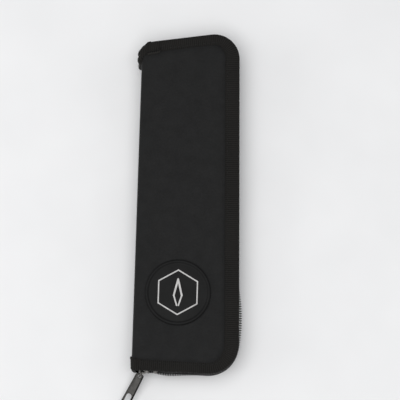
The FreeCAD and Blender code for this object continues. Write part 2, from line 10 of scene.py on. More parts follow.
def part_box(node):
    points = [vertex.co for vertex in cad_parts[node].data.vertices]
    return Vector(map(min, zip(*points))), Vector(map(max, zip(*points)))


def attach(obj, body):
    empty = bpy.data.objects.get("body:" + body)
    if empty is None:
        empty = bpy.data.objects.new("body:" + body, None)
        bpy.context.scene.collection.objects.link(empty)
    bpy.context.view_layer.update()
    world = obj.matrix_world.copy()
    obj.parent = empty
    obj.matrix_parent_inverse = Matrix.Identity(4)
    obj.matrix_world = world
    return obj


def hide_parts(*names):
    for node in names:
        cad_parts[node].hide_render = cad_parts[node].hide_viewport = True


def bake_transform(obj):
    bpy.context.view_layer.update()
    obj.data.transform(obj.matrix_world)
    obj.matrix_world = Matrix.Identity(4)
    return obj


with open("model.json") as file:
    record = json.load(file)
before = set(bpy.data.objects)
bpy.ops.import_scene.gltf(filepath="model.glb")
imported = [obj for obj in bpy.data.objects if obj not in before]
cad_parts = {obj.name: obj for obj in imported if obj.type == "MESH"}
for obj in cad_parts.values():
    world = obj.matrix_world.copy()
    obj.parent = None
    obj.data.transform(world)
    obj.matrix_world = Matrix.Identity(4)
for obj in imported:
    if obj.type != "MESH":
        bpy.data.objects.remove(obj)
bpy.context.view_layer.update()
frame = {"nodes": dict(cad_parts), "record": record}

mm = 0.001
nodes = frame["nodes"]
scene = bpy.context.scene
scene.view_settings.view_transform = "Standard"


def sized(**lengths):
    # lengths given in mm, kept in metres
    return {k: tuple(x * mm for x in v) if isinstance(v, tuple) else v * mm for k, v in lengths.items()}


# the closed case lies on its back cover, spine at low X, head at high Y
case = sized(length=220, width=64.5, thickness=22, widthTaper=5, headDrop=9.4, tailRise=1.6, headRadius=16,
             tailRadius=19, foldRadius=2.2, headSpineRound=6.2, tailSpineRound=1.3)
halfLength = case["length"] / 2
spineX = -case["width"] / 2
midZ = case["thickness"] / 2
foldX = spineX + case["foldRadius"]
foldZ = case["thickness"] - case["foldRadius"]
headSpine = Vector((spineX, halfLength - case["headDrop"]))
headZip = Vector((case["width"] / 2 - case["widthTaper"] / 2, halfLength))
tailZip = Vector((case["width"] / 2 + case["widthTaper"] / 2, -halfLength))
tailSpine = Vector((spineX, -halfLength + case["tailRise"]))
tapeWidths = sized(head=7.1, zip=9.0, tail=6.6, blend=14)


def spineDip(z, depth):
    # the spine cloth sinks a little between its two folds
    return depth * math.sin(math.pi * (z - case["foldRadius"]) / (foldZ - case["foldRadius"]))


# a line is a point and a direction, both seen from above
def insetLine(a, b, inset):
    along = (b - a).normalized()
    return a + Vector((along.y, -along.x)) * inset, along


def meetPoint(lineA, lineB):
    (p, u), (q, w) = lineA, lineB
    t = ((q.x - p.x) * w.y - (q.y - p.y) * w.x) / (u.x * w.y - u.y * w.x)
    return p + u * t


def pointAtX(line, x):
    p, u = line
    return p + u * ((x - p.x) / u.x)


def arcPoints(centre, first, last, count):
    a0 = math.atan2(first.y - centre.y, first.x - centre.x)
    a1 = math.atan2(last.y - centre.y, last.x - centre.x)
    turn = (a1 - a0 + math.pi) % (2 * math.pi) - math.pi
    angles = [a0 + turn * (i + 1) / count for i in range(count)]
    return [centre + Vector((math.cos(a), math.sin(a))) * (first - centre).length for a in angles]


def roundedPath(points, radii, step=2.5 * mm, arcSteps=14):
    out = [points[0].copy()]

    def runTo(end):
        start = out[-1]
        count = max(1, round((end - start).length / step))
        out.extend(start.lerp(end, (i + 1) / count) for i in range(count))

    for before, corner, after, radius in zip(points, points[1:], points[2:], radii):
        toA, toB = (before - corner).normalized(), (after - corner).normalized()
        half = toA.angle(toB) / 2
        reach = radius / math.tan(half)
        centre = corner + (toA + toB).normalized() * (radius / math.sin(half))
        runTo(corner + toA * reach)
        out.extend(arcPoints(centre, out[-1], corner + toB * reach, arcSteps))
    runTo(points[-1])
    return out


def coverLines(inset):
    corners = [headSpine, headZip, tailZip, tailSpine]
    return [insetLine(a, b, inset) for a, b in zip(corners, corners[1:])]


def coverEdge(inset, startX):
    head, side, tail = coverLines(inset)
    points = [pointAtX(head, startX), meetPoint(head, side), meetPoint(side, tail), pointAtX(tail, startX)]
    return roundedPath(points, [case["headRadius"] - inset, case["tailRadius"] - inset])


def insetAt(p):
    # how far a point lies inside the cover's edge, round corners included
    away = [(p - q).dot(Vector((u.y, -u.x))) for q, u in coverLines(0)]
    best = min(away)
    for i, radius in ((0, case["headRadius"]), (1, case["tailRadius"])):
        if away[i] < radius and away[i + 1] < radius:
            lines = coverLines(radius)
            best = radius - (p - meetPoint(lines[i], lines[i + 1])).length
    return best


def softSide(a, b, blend):
    t = min(max(0.5 + (b - a) / (2 * blend), 0), 1)
    return t * t * (3 - 2 * t)


def tapeWidth(p):
    # seen width of the binding: wide on the zip side, narrower at the tail and narrowest at the head
    head, side, tail = [(p - q).dot(Vector((u.y, -u.x))) for q, u in coverLines(0)]
    ends = min(head, tail)
    endWidth = tapeWidths["head"] if head < tail else tapeWidths["tail"]
    share = softSide(side, ends, tapeWidths["blend"])
    return endWidth + (tapeWidths["zip"] - endWidth) * share


def rounded(x, y):
    # draws the two square corners at the spine in to round ones
    corners = ((headSpine.y, case["headSpineRound"], 1), (tailSpine.y, case["tailSpineRound"], -1))
    for cornerY, radius, way in corners:
        left, out = spineX + radius - x, (y - cornerY) * way + radius
        if left > 0 and out > 0:
            share = max(left, out) / math.hypot(left, out)
            return spineX + radius - left * share, cornerY + way * (out * share - radius)
    return x, y


def roundedGrid(grid):
    grid = np.array(grid, float)
    for point in grid.reshape(-1, 3):
        point[:2] = rounded(point[0], point[1])
    return grid


def withNormals(points):
    # each point with its outward direction; the path runs clockwise seen from above
    out = []
    for i, p in enumerate(points):
        along = points[min(i + 1, len(points) - 1)] - points[max(i - 1, 0)]
        out.append((p, Vector((-along.y, along.x)).normalized()))
    return out


def finishMesh(bm, name, material, sharpAngle=0.8):
    bmesh.ops.recalc_face_normals(bm, faces=bm.faces)
    for face in bm.faces:
        face.smooth = True
    for edge in bm.edges:
        if len(edge.link_faces) == 2 and edge.calc_face_angle(0) > sharpAngle:
            edge.smooth = False
    mesh = bpy.data.meshes.new(name)
    bm.to_mesh(mesh)
    bm.free()
    obj = bpy.data.objects.new(name, mesh)
    scene.collection.objects.link(obj)
    mesh.materials.append(material)
    return obj


def tubeFromRows(name, rows, material, sharpAngle=0.8, wrapRows=False):
    # rows of closed sections, skinned and capped; UV in metres along and round
    rows = np.asarray(rows, float)
    rowCount, colCount = rows.shape[:2]
    along = np.concatenate([[0], np.cumsum(np.linalg.norm(np.diff(rows, axis=0), axis=2).mean(1))])
    loop = np.concatenate([rows[rowCount // 2], rows[rowCount // 2][:1]])
    across = np.concatenate([[0], np.cumsum(np.linalg.norm(np.diff(loop, axis=0), axis=1))])
    bm = bmesh.new()
    uv = bm.loops.layers.uv.new("UVMap")
    verts = [[bm.verts.new(p) for p in row] for row in rows]
    last = rowCount if wrapRows else rowCount - 1
    for i in range(last):
        n = (i + 1) % rowCount
        for j in range(colCount):
            k = (j + 1) % colCount
            face = bm.faces.new((verts[i][j], verts[i][k], verts[n][k], verts[n][j]))
            ends = ((i, j), (i, j + 1), (i + 1, j + 1), (i + 1, j))
            for corner, (r, c) in zip(face.loops, ends):
                corner[uv].uv = (along[r] if r < rowCount else along[-1], across[c])
    if not wrapRows:
        for row, r in ((verts[0], 0), (verts[-1], -1)):
            cap = bm.faces.new(row)
            for c, corner in enumerate(cap.loops):
                corner[uv].uv = (along[r], across[c])
    return finishMesh(bm, name, material, sharpAngle)


def sheetFromGrid(name, grid, thickness, material):
    # a grid of points made into cloth of that thickness, given towards the inside
    grid = np.asarray(grid, float)
    rowCount, colCount = grid.shape[:2]
    du, dv = np.gradient(grid, axis=1), np.gradient(grid, axis=0)
    normal = np.cross(du, dv)
    normal /= np.linalg.norm(normal, axis=2, keepdims=True)
    if normal[rowCount // 2, -5, 2] * (grid[rowCount // 2, -5, 2] - midZ) < 0:
        normal = -normal
    inner = grid - normal * thickness
    u = np.concatenate([[0], np.cumsum(np.linalg.norm(np.diff(grid[rowCount // 2], axis=0), axis=1))])
    bm = bmesh.new()
    uv = bm.loops.layers.uv.new("UVMap")
    layers = [[[bm.verts.new(p) for p in row] for row in layer] for layer in (grid, inner)]

    def addFace(corners):
        face = bm.faces.new([layers[a][i][j] for a, i, j in corners])
        for loop, (a, i, j) in zip(face.loops, corners):
            loop[uv].uv = (u[j], grid[i, j, 1])

    for layer in (0, 1):
        for i in range(rowCount - 1):
            for j in range(colCount - 1):
                addFace([(layer, i, j), (layer, i, j + 1), (layer, i + 1, j + 1), (layer, i + 1, j)])
    rim = [(0, j) for j in range(colCount)] + [(i, colCount - 1) for i in range(1, rowCount)]
    rim += [(rowCount - 1, j) for j in range(colCount - 2, -1, -1)]
    rim += [(i, 0) for i in range(rowCount - 2, 0, -1)]
    for (i, j), (m, n) in zip(rim, rim[1:] + rim[:1]):
        addFace([(0, i, j), (0, m, n), (1, m, n), (1, i, j)])
    return finishMesh(bm, name, material, 1.2)


groundPress = sized(lift=0.85, height=1.7, fade=4)


def flipped(rows):
    # the back half's shape from the front half's; its weight presses the spine's folded tape flat underneath
    rows = np.array(rows, float)
    g, x, y, z = groundPress, rows[..., 0], rows[..., 1], case["thickness"] - rows[..., 2]
    headEnd, tailEnd = headSpine.y - spineEnds["head"]["spine"], tailSpine.y + spineEnds["tail"]["spine"]
    beyond = np.minimum(headEnd - y, y - tailEnd)
    share = np.clip(1 - beyond / g["fade"], 0, 1) * np.clip(1 - (x - foldX) / spineEnds["coverOverlap"], 0, 1)
    rows[..., 2] = z + g["lift"] * share * np.clip((g["height"] - z) / (g["height"] + g["lift"]), 0, 1)
    return rows


def shaderGraph(name):
    material = bpy.data.materials.new(name)
    material.use_nodes = True
    tree = material.node_tree
    return material, tree, tree.nodes["Principled BSDF"]


def addNode(tree, kind, inputs=None, **settings):
    node = tree.nodes.new(kind)
    for key, value in settings.items():
        setattr(node, key, value)
    for key, value in (inputs or {}).items():
        if isinstance(value, bpy.types.NodeSocket):
            tree.links.new(value, node.inputs[key])
        else:
            node.inputs[key].default_value = value
    return node


def mathNode(tree, operation, a, b=0.0):
    return addNode(tree, "ShaderNodeMath", {0: a, 1: b}, operation=operation).outputs[0]


def ripple(tree, coordinate, pitch):
    # 0..1 waves of that pitch along one coordinate
    phase = mathNode(tree, "MULTIPLY", coordinate, 2 * math.pi / pitch)
    wave = mathNode(tree, "SINE", phase)
    return mathNode(tree, "MULTIPLY_ADD", wave, 0.5)


def noiseNode(tree, vector, scale, detail=3.0, roughness=0.55):
    values = {"Vector": vector, "Scale": scale, "Detail": detail, "Roughness": roughness}
    return addNode(tree, "ShaderNodeTexNoise", values).outputs["Fac"]


def twoTone(tree, factor, dark, light, low=0.3, high=0.7):
    ramp = addNode(tree, "ShaderNodeValToRGB", {"Fac": factor})
    ramp.color_ramp.elements[0].position, ramp.color_ramp.elements[0].color = low, (*dark, 1)
    ramp.color_ramp.elements[1].position, ramp.color_ramp.elements[1].color = high, (*light, 1)
    return ramp.outputs["Color"]


def bumpInto(tree, bsdf, values):
    bump = addNode(tree, "ShaderNodeBump", values)
    tree.links.new(bump.outputs["Normal"], bsdf.inputs["Normal"])


def clothMaterial(name, look):
    # two crossing thread directions, heather, soft patches and a little fuzz
    material, tree, bsdf = shaderGraph(name)
    coords = addNode(tree, "ShaderNodeTexCoord")
    place = coords.outputs["Object"]
    flat = addNode(tree, "ShaderNodeSeparateXYZ", {0: coords.outputs["UV"]})
    warp = ripple(tree, flat.outputs["X"], look["warpPitch"])
    weft = ripple(tree, flat.outputs["Y"], look["weftPitch"])
    warpPart = mathNode(tree, "MULTIPLY", warp, look["warpShare"])
    weftPart = mathNode(tree, "MULTIPLY", weft, look["weftShare"])
    threads = mathNode(tree, "ADD", warpPart, weftPart)
    fuzz = noiseNode(tree, place, look["fuzzScale"], 4.0)
    patches = noiseNode(tree, place, look["patchScale"], 2.0)
    tone = mathNode(tree, "MULTIPLY", threads, look["threadTone"])
    for part, share in ((fuzz, 0.45), (patches, 0.35)):
        tone = mathNode(tree, "ADD", mathNode(tree, "MULTIPLY", part, share), tone)
    colour = twoTone(tree, tone, look["dark"], look["light"], 0.3, 0.75)
    tree.links.new(colour, bsdf.inputs["Base Color"])
    height = mathNode(tree, "ADD", threads, mathNode(tree, "MULTIPLY", fuzz, look["fuzzHeight"]))
    bumpInto(tree, bsdf, {"Height": height, "Distance": look["bump"], "Strength": 1.0})
    bsdf.inputs["Roughness"].default_value = look["roughness"]
    bsdf.inputs["Specular IOR Level"].default_value = look["specular"]
    bsdf.inputs["Sheen Weight"].default_value = look["sheen"]
    bsdf.inputs["Sheen Roughness"].default_value = 0.45
    return material


clothLooks = {
    "coverCloth": {"dark": (0.0050, 0.0051, 0.0052), "light": (0.0135, 0.0136, 0.0138), "roughness": 0.74,
        "specular": 0.2, "sheen": 0.09, "warpPitch": 0.55 * mm, "weftPitch": 0.62 * mm, "warpShare": 0.5,
        "weftShare": 0.5, "threadTone": 0.2, "fuzzScale": 900, "patchScale": 150, "fuzzHeight": 0.7,
        "bump": 0.07 * mm},
    "grosgrain": {"dark": (0.0012, 0.0011, 0.0010), "light": (0.0145, 0.0137, 0.0126), "roughness": 0.8,
        "specular": 0.15, "sheen": 0.03, "warpPitch": 1.25 * mm, "weftPitch": 0.5 * mm, "warpShare": 0.85,
        "weftShare": 0.15, "threadTone": 0.75, "fuzzScale": 1300, "patchScale": 60, "fuzzHeight": 0.35,
        "bump": 0.3 * mm},
    "liningCloth": {"dark": (0.010, 0.0103, 0.011), "light": (0.021, 0.0215, 0.0225), "roughness": 0.9,
        "specular": 0.2, "sheen": 0.15, "warpPitch": 0.4 * mm, "weftPitch": 0.4 * mm, "warpShare": 0.4,
        "weftShare": 0.4, "threadTone": 0.1, "fuzzScale": 1600, "patchScale": 35, "fuzzHeight": 1.2,
        "bump": 0.06 * mm},
    "zipTapeWeave": {"dark": (0.006, 0.006, 0.006), "light": (0.017, 0.0165, 0.016), "roughness": 0.85,
        "specular": 0.22, "sheen": 0.05, "warpPitch": 0.8 * mm, "weftPitch": 0.55 * mm, "warpShare": 0.5,
        "weftShare": 0.5, "threadTone": 0.35, "fuzzScale": 1500, "patchScale": 70, "fuzzHeight": 0.4,
        "bump": 0.1 * mm},
    "elasticWeave": {"dark": (0.0075, 0.0075, 0.008), "light": (0.024, 0.024, 0.025), "roughness": 0.75,
        "specular": 0.25, "sheen": 0.08, "warpPitch": 0.9 * mm, "weftPitch": 1.1 * mm, "warpShare": 0.45,
        "weftShare": 0.55, "threadTone": 0.5, "fuzzScale": 1500, "patchScale": 70, "fuzzHeight": 0.3,
        "bump": 0.14 * mm},
}


def solidMaterial(name, look):
    # plastics, print and metal: fine grain, cloudy tone and roughness that varies
    material, tree, bsdf = shaderGraph(name)
    place = addNode(tree, "ShaderNodeTexCoord").outputs["Object"]
    stretch = addNode(tree, "ShaderNodeMapping", {"Vector": place, "Scale": look.get("stretch", (1, 1, 1))})
    grain = noiseNode(tree, stretch.outputs["Vector"], look["grainScale"], 5.0)
    cloud = noiseNode(tree, place, look["cloudScale"], 3.0)
    tree.links.new(twoTone(tree, cloud, look["dark"], look["light"]), bsdf.inputs["Base Color"])
    span = look["roughnessSpan"]
    rough = mathNode(tree, "MULTIPLY_ADD", grain, span[1] - span[0])
    rough.node.inputs[2].default_value = span[0]
    tree.links.new(rough, bsdf.inputs["Roughness"])
    bumpInto(tree, bsdf, {"Height": grain, "Distance": look["bump"], "Strength": 1.0})
    bsdf.inputs["Metallic"].default_value = look.get("metallic", 0.0)
    bsdf.inputs["Specular IOR Level"].default_value = look.get("specular", 0.5)
    return material


solidLooks = {
    "blackNylon": {"dark": (0.007, 0.007, 0.007), "light": (0.016, 0.016, 0.016),
        "roughnessSpan": (0.35, 0.5), "grainScale": 2500, "cloudScale": 200, "bump": 0.01 * mm,
        "specular": 0.45},
    "blackThread": {"dark": (0.0035, 0.0035, 0.0033), "light": (0.010, 0.0098, 0.0094),
        "roughnessSpan": (0.55, 0.8), "grainScale": 3500, "cloudScale": 400, "bump": 0.04 * mm,
        "specular": 0.3},
    "badgePlastic": {"dark": (0.0055, 0.0056, 0.0056), "light": (0.0085, 0.0086, 0.0086),
        "roughnessSpan": (0.5, 0.68), "grainScale": 1800, "cloudScale": 90, "bump": 0.03 * mm,
        "specular": 0.13},
    "silverPrint": {"dark": (0.40, 0.39, 0.385), "light": (0.56, 0.55, 0.54), "roughnessSpan": (0.4, 0.6),
        "grainScale": 2500, "cloudScale": 350, "bump": 0.02 * mm, "specular": 0.5},
    "gunmetal": {"dark": (0.088, 0.086, 0.081), "light": (0.142, 0.137, 0.13), "roughnessSpan": (0.28, 0.45),
        "grainScale": 1800, "cloudScale": 300, "bump": 0.012 * mm, "metallic": 0.9},
    "brushedSteel": {"dark": (0.46, 0.465, 0.47), "light": (0.60, 0.605, 0.61), "roughnessSpan": (0.24, 0.42),
        "grainScale": 2200, "cloudScale": 60, "bump": 0.02 * mm, "metallic": 1.0, "stretch": (1, 0.02, 1)},
    "greyFoam": {"dark": (0.05, 0.05, 0.052), "light": (0.09, 0.09, 0.092), "roughnessSpan": (0.85, 0.95),
        "grainScale": 1500, "cloudScale": 300, "bump": 0.12 * mm, "specular": 0.2},
    "stiffBoard": {"dark": (0.04, 0.04, 0.04), "light": (0.06, 0.06, 0.06), "roughnessSpan": (0.5, 0.6),
        "grainScale": 800, "cloudScale": 100, "bump": 0.03 * mm},
}
materials = {name: clothMaterial(name, look) for name, look in clothLooks.items()}
materials.update({name: solidMaterial(name, look) for name, look in solidLooks.items()})


def builtOn(source, name):
    # a copy of a material, with its nodes, its coordinates and the socket its colour comes from
    material = materials[source].copy()
    material.name = name
    tree = material.node_tree
    bsdf = tree.nodes["Principled BSDF"]
    coords = next(n for n in tree.nodes if n.type == "TEX_COORD")
    return material, tree, bsdf, coords, bsdf.inputs["Base Color"].links[0].from_socket


tab = {
    "turn": math.radians(-27.4),   # the pull hangs this far round from straight down
    **sized(middleHalf=2.9, rim=0.85, ridgePitch=0.95, ridgeEdge=-1.15, ridgeDepth=0.22),
    # dark: the colour of the painted shade along the pull's rim
    "taper": -0.025, "ridgeSlant": 0.7, "dark": (0.012, 0.012, 0.011, 1),
}


def tabMaterial():
    # the pull's metal: painted shade along its rim, standing in for the shaded edges of the plate, and short
    # ridges on its left edge
    material, tree, bsdf, coords, base = builtOn("gunmetal", "gunmetalWithPaintedRimShade")
    low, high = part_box("pull_tab")
    values = {0: coords.outputs["Object"], 1: tuple((low + high) / 2)}
    moved = addNode(tree, "ShaderNodeVectorMath", values, operation="SUBTRACT")
    values = {"Vector": moved.outputs[0], "Angle": -tab["turn"]}
    turned = addNode(tree, "ShaderNodeVectorRotate", values, rotation_type="Z_AXIS")
    flat = addNode(tree, "ShaderNodeSeparateXYZ", {0: turned.outputs[0]})
    across, along = flat.outputs["X"], flat.outputs["Y"]
    slant = mathNode(tree, "ADD", along, mathNode(tree, "MULTIPLY", across, tab["ridgeSlant"]))
    ridges = ripple(tree, slant, tab["ridgePitch"])
    ridges = mathNode(tree, "MULTIPLY", ridges, mathNode(tree, "LESS_THAN", across, tab["ridgeEdge"]))
    half = mathNode(tree, "MULTIPLY", along, tab["taper"])
    half = mathNode(tree, "ADD", half, tab["middleHalf"] - tab["rim"])
    # painted shade: the rim mask, where the base colour is darkened in place of the shade on the plate's edges;
    # the ridges break it into stripes on the left edge
    rim = mathNode(tree, "GREATER_THAN", mathNode(tree, "ABSOLUTE", across), half)
    rim = mathNode(tree, "MULTIPLY", rim, mathNode(tree, "SUBTRACT", 1.0, ridges))
    paintedRimShade = addNode(tree, "ShaderNodeMix", data_type="RGBA")
    for socket, value in zip([i for i in paintedRimShade.inputs if i.enabled], (rim, base, None)):
        if value:
            tree.links.new(value, socket)
        else:
            socket.default_value = tab["dark"]
    tree.links.new([o for o in paintedRimShade.outputs if o.enabled][0], bsdf.inputs["Base Color"])
    grain = bsdf.inputs["Normal"].links[0].from_socket
    bumpInto(tree, bsdf, {"Height": ridges, "Distance": tab["ridgeDepth"], "Normal": grain})
    return material


slotMaterials = {
    "cover_cloth": "coverCloth", "spine_cloth": "coverCloth", "lining_cloth": "liningCloth", "foam": "greyFoam",
    "board": "stiffBoard", "binding_tape": "grosgrain", "zip_tape": "zipTapeWeave", "zip_coil": "blackNylon",
    "zip_metal": "gunmetal", "badge": "badgePlastic", "badge_print": "silverPrint", "elastic": "elasticWeave",
    "thread": "blackThread", "tweezers_steel": "brushedSteel",
}
for part in frame["record"]["subparts"]:
    cadMesh = nodes[part["node"]].data
    cadMesh.materials.clear()
    cadMesh.materials.append(materials[slotMaterials[part["material_slot"]]])
nodes["pull_tab"].data.materials[0] = tabMaterial()
print("materials ready")


view = {
    "target": (7.45 * mm, -0.45 * mm, 21 * mm), "distance": 1.17, "tilt": math.radians(9.5),
    "roll": math.radians(1.6), "width": 0.2521,
}


def makeCamera():
    up = Vector((-math.sin(view["roll"]), math.cos(view["roll"]), 0))
    back = Vector((0, 0, math.cos(view["tilt"]))) - up * math.sin(view["tilt"])
    right = up.cross(back).normalized()
    top = back.cross(right)
    data = bpy.data.cameras.new("camera")
    data.sensor_width = 36
    data.lens = 36 * view["distance"] / view["width"]
    data.clip_start = 0.01
    camera = bpy.data.objects.new("camera", data)
    turn = Matrix((right, top, back)).transposed().to_4x4()
    camera.matrix_world = Matrix.Translation(Vector(view["target"]) + back * view["distance"]) @ turn
    scene.collection.objects.link(camera)
    scene.camera = camera


def makeLight(name, place, size, power):
    # a square panel that looks at the middle of the case
    data = bpy.data.lights.new(name, "AREA")
    data.shape = "SQUARE"
    data.size = size
    data.energy = power
    light = bpy.data.objects.new(name, data)
    light.location = place
    light.rotation_euler = Vector(place).to_track_quat("Z", "Y").to_euler()
    scene.collection.objects.link(light)


stage = {"floorHalf": 1.6, "floorDrop": 0.05 * mm, "sky": (0.97, 0.985, 1.0, 1), "skyStrength": 0.30}


def makeFloor():
    material, tree, bsdf = shaderGraph("paleFloor")
    place = addNode(tree, "ShaderNodeTexCoord").outputs["Object"]
    cloud = noiseNode(tree, place, 18, 2.0)
    tree.links.new(twoTone(tree, cloud, (0.83, 0.83, 0.835), (0.86, 0.86, 0.865)), bsdf.inputs["Base Color"])
    bsdf.inputs["Roughness"].default_value = 0.9
    bsdf.inputs["Specular IOR Level"].default_value = 0.1
    bm = bmesh.new()
    bmesh.ops.create_grid(bm, x_segments=4, y_segments=4, size=stage["floorHalf"])
    for vert in bm.verts:
        vert.co.z = -stage["floorDrop"]
    floor = finishMesh(bm, "floor", material)


makeCamera()
makeLight("skyPanel", (-0.12, -0.18, 1.4), 1.4, 17.8)
makeLight("leftPanel", (-0.95, -0.1, 0.3), 0.6, 1.5)
makeLight("rightPanel", (0.95, 0.1, 0.5), 0.6, 0.8)
world = bpy.data.worlds.new("studio")
scene.world = world
world.use_nodes = True
world.node_tree.nodes["Background"].inputs["Color"].default_value = stage["sky"]
world.node_tree.nodes["Background"].inputs["Strength"].default_value = stage["skyStrength"]
makeFloor()
print("stage ready")


cloth = {
    **sized(thickness=0.45, edgeInset=0.9, flangeZ=20.76, fieldRise=1.2, shoulder=3.0, swell=0.16, pucker=0.14,
            shoulderStart=0.25, spineFade=8, puckerReach=4, spineDip=0.5, foldSlack=0.04),
    "rows": 150, "cols": 50,
}
lining = {
    **sized(thickness=0.35, edgeInset=1.4, z=18.74, spineX=-29.72, cornerRadius=1.5, sag=0.12, sagFade=6),
    "rows": 90, "cols": 32,
    "cut": (70.3 * mm, 217.2 * mm),   # the cloth's flat size, before its corners are cut round
}


def resampled(points, count):
    pts = np.array([(p.x, p.y) for p in points])
    run = np.concatenate([[0], np.cumsum(np.linalg.norm(np.diff(pts, axis=0), axis=1))])
    at = np.linspace(0, run[-1], count)
    return np.stack([np.interp(at, run, pts[:, 0]), np.interp(at, run, pts[:, 1])], axis=1)


def coverPatch(inset, startX, rows, cols):
    # an even patch that fills the cover's outline from startX to the zip side
    path = coverEdge(inset, startX)
    headTurn = min(range(len(path)), key=lambda i: (path[i] - headZip).length)
    tailTurn = min(range(len(path)), key=lambda i: (path[i] - tailZip).length)
    top = resampled(path[:headTurn + 1], cols)
    side = resampled(path[headTurn:tailTurn + 1], rows)
    bottom = resampled(path[tailTurn:], cols)[::-1]
    left = np.linspace(top[0], bottom[0], rows)
    u = np.linspace(0, 1, cols)[None, :, None]
    v = np.linspace(0, 1, rows)[:, None, None]
    patch = (1 - v) * top[None] + v * bottom[None] + (1 - u) * left[:, None] + u * side[:, None]
    patch -= (1 - v) * ((1 - u) * top[0] + u * top[-1]) + v * ((1 - u) * bottom[0] + u * bottom[-1])
    return patch


def clothHeight(p, seed):
    depth = insetAt(p)
    edge = depth - tapeWidth(p)
    t = min(max((edge - cloth["shoulderStart"]) / cloth["shoulder"], 0), 1)
    rise = math.sqrt(1 - (1 - t) ** 2)
    fade = min(max((p.x - foldX) / cloth["spineFade"], 0), 1)
    swell = noise.noise(Vector((p.x * 55, p.y * 24, seed))) * cloth["swell"]
    pucker = noise.noise(Vector((p.x * 160, p.y * 160, seed + 4))) * cloth["pucker"]
    pucker *= math.exp(-max(edge, 0) / cloth["puckerReach"])
    return cloth["flangeZ"] + cloth["fieldRise"] * rise + (swell + pucker) * rise * fade


def clothGrid(seed):
    patch = coverPatch(cloth["edgeInset"], foldX, cloth["rows"], cloth["cols"])
    spineZ = np.linspace(midZ, foldZ, 9)[:-1]
    grid = []
    for row in patch:
        y = row[0][1]
        line = []
        for z in spineZ:
            dip = spineDip(z, cloth["spineDip"])
            line.append((spineX + dip, y, z))
        for i in range(9):
            a = math.radians(90 * i / 9)
            reach = case["foldRadius"]
            line.append((foldX - reach * math.cos(a), y, foldZ + (reach - cloth["foldSlack"]) * math.sin(a)))
        line += [(x, yy, clothHeight(Vector((x, yy)), seed)) for x, yy in row]
        grid.append(line)
    return roundedGrid(grid)


def liningGrid(seed):
    startX = lining["spineX"] + lining["cornerRadius"]
    patch = coverPatch(lining["edgeInset"], startX, lining["rows"], lining["cols"])
    turnZ = lining["z"] - lining["cornerRadius"]
    grid = []
    for row in patch:
        y = row[0][1]
        line = [(lining["spineX"], y, z) for z in np.linspace(midZ, turnZ, 7)[:-1]]
        for i in range(6):
            a = math.radians(90 * i / 6)
            r = lining["cornerRadius"]
            line.append((startX - r * math.cos(a), y, turnZ + r * math.sin(a)))
        for x, yy in row:
            ease = min(max((x - startX) / lining["sagFade"], 0), 1)
            sag = noise.noise(Vector((x * 70, yy * 40, seed))) * lining["sag"] * ease
            line.append((x, yy, lining["z"] + sag))
        grid.append(line)
    return roundedGrid(grid)


def makeCovers():
    halves = (("front", "front_half", 2.0, np.array, foldZ),
              ("back", "back_half", 9.0, flipped, case["foldRadius"]))
    for name, body, seed, turn, axisZ in halves:
        outsideGrid = turn(clothGrid(seed))
        skin = sheetFromGrid(name + "CoverCloth", outsideGrid, cloth["thickness"], materials["coverCloth"])
        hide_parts(name + "_cover_cloth", name + "_padding")
        if name == "front":
            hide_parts("spine_cloth")
        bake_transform(skin)
        insideGrid = turn(liningGrid(seed + 1))
        inner = sheetFromGrid(name + "Lining", insideGrid, -lining["thickness"], materials["liningCloth"])
        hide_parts(name + "_lining")
        if name == "front":
            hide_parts("spine_lining", "spine_padding")
        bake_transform(inner)
        print(name, "cover and lining made")


binding = sized(startX=-27.65, innerEdge=9.0, top=21.52, under=20.8, edgeWobble=0.22, puff=0.07, low=18.12,
                lowUnder=18.68, wall=0.62)
spineEnds = {
    # bulge: how far the folded tape stands out from the spine, by distance from the case's end, in mm
    "head": {**sized(cover=8.5, spine=13.6, fold=2.2), "bulge": [
        (0, 0.1), (4, 0.7), (6, 1.75), (7.4, 2.15), (8.6, 1.95), (9.1, 1.45), (9.6, 1.95), (10.9, 2.3),
        (12.6, 2.1), (13.6, 1.3)]},
    "tail": {**sized(cover=6.9, spine=8.4, fold=0), "bulge": [
        (0, 0.0), (2, 0.05), (4, 0.15), (5.6, 0.2), (6.3, 0.25), (7.0, 0.6), (7.8, 0.6), (8.4, 0.25)]},
    **sized(thickness=0.62, wrapDepth=1.9, coverOverlap=3.4, overlapDrop=0.95, spineDip=0.45, creaseHalf=0.4,
            creaseDepth=0.3, edgeDrop=0.2),
}


def bindingSection(i, seed, width):
    b = binding
    wave = noise.noise(Vector((i * 0.16, seed, 0))) * b["edgeWobble"]
    puff = noise.noise(Vector((i * 0.23, seed + 7, 0))) * b["puff"]
    edge, top, lower = width + wave, b["top"] + puff, b["innerEdge"]
    return [
        (edge, b["under"] + 0.04 * mm), (edge + 0.08 * mm, b["under"] + 0.3 * mm),
        (edge - 0.25 * mm, top - 0.08 * mm), (edge - 1.4 * mm, top), (edge * 0.55, top + 0.05 * mm),
        (edge * 0.32, top + 0.02 * mm), (1.2 * mm, top - 0.1 * mm), (0.55 * mm, top - 0.3 * mm),
        (0.12 * mm, top - 0.85 * mm), (-0.05 * mm, 19.8 * mm), (0.1 * mm, 18.9 * mm),
        (0.6 * mm, 18.35 * mm), (1.5 * mm, b["low"]), (5.0 * mm, b["low"] - 0.04 * mm),
        (lower - 0.3 * mm, b["low"]), (lower, b["low"] + 0.25 * mm),
        (lower - 0.1 * mm, b["lowUnder"]), (b["wall"], b["lowUnder"]),
        (b["wall"], 19.8 * mm), (b["wall"], b["under"]), (edge * 0.5, b["under"]),
    ]


def makeBindings():
    path = withNormals(coverEdge(0, binding["startX"]))
    for name, seed, turn in (("front", 1.0, np.array), ("back", 5.0, flipped)):
        rows = []
        for i, (p, n) in enumerate(path):
            section = bindingSection(i, seed, tapeWidth(p))
            rows.append([(*(p - n * inset), z) for inset, z in section])
        tape = tubeFromRows(name + "Binding", turn(roundedGrid(rows)), materials["grosgrain"], 1.3)
        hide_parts(name + "_binding")
        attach(tape, name + "_half")
    print("edge bindings made")


